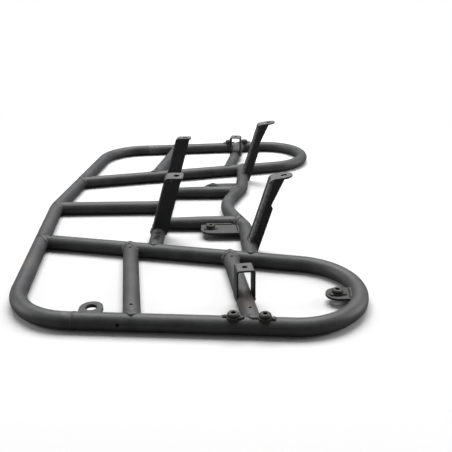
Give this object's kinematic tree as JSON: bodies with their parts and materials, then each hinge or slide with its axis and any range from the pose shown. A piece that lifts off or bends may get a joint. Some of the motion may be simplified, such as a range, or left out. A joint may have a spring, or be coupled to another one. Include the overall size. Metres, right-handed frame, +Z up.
{
  "type": "motorcycle luggage rack",
  "caption": "Welded steel tube cargo rack with swept side hoops, cross tubes and folded mounting legs, lying upside down on its load face.",
  "frame": {"origin": "middle of the rack's length and width, on the plane that its tubes lie on", "axes": "+X from the rear bar to the hoops, +Y across the rack to its right side, +Z up through the legs; the load face looks down"},
  "size_m": [0.494, 0.8348, 0.1241],
  "materials": {
    "tube_coat": "satin black powder coat",
    "bracket_coat": "satin black powder coat on folded sheet",
    "plate_coat": "satin black powder coat on flat plate",
    "nut_coat": "satin black powder coat, thin at the edges"
  },
  "bodies": {
    "root": {"rear_bar": "tube_coat", "side_hoop_left": "tube_coat", "side_hoop_right": "tube_coat", "centre_rail": "tube_coat", "middle_cross_tube": "tube_coat", "wavy_cross_tube": "tube_coat", "stay_tube_left": "tube_coat", "stay_tube_right": "tube_coat", "rear_cross_tube_left": "tube_coat", "rear_cross_tube_right": "tube_coat", "front_cross_tube_left": "tube_coat", "front_cross_tube_right": "tube_coat", "middle_leg_left": "bracket_coat", "middle_leg_right": "bracket_coat", "front_leg_left": "bracket_coat", "front_leg_right": "bracket_coat", "strap_bracket_left": "bracket_coat", "strap_bracket_right": "bracket_coat", "stay_plate_left": "plate_coat", "stay_plate_right": "plate_coat", "hoop_tab_left": "plate_coat", "lashing_eyelet": "plate_coat", "rear_rail_nut_left": "nut_coat", "rear_rail_nut_right": "nut_coat", "front_rail_nut_left": "nut_coat", "front_rail_nut_right": "nut_coat", "stay_nut_left": "nut_coat", "stay_nut_right": "nut_coat", "hoop_nut_left": "nut_coat"}
  },
  "joints": []
}
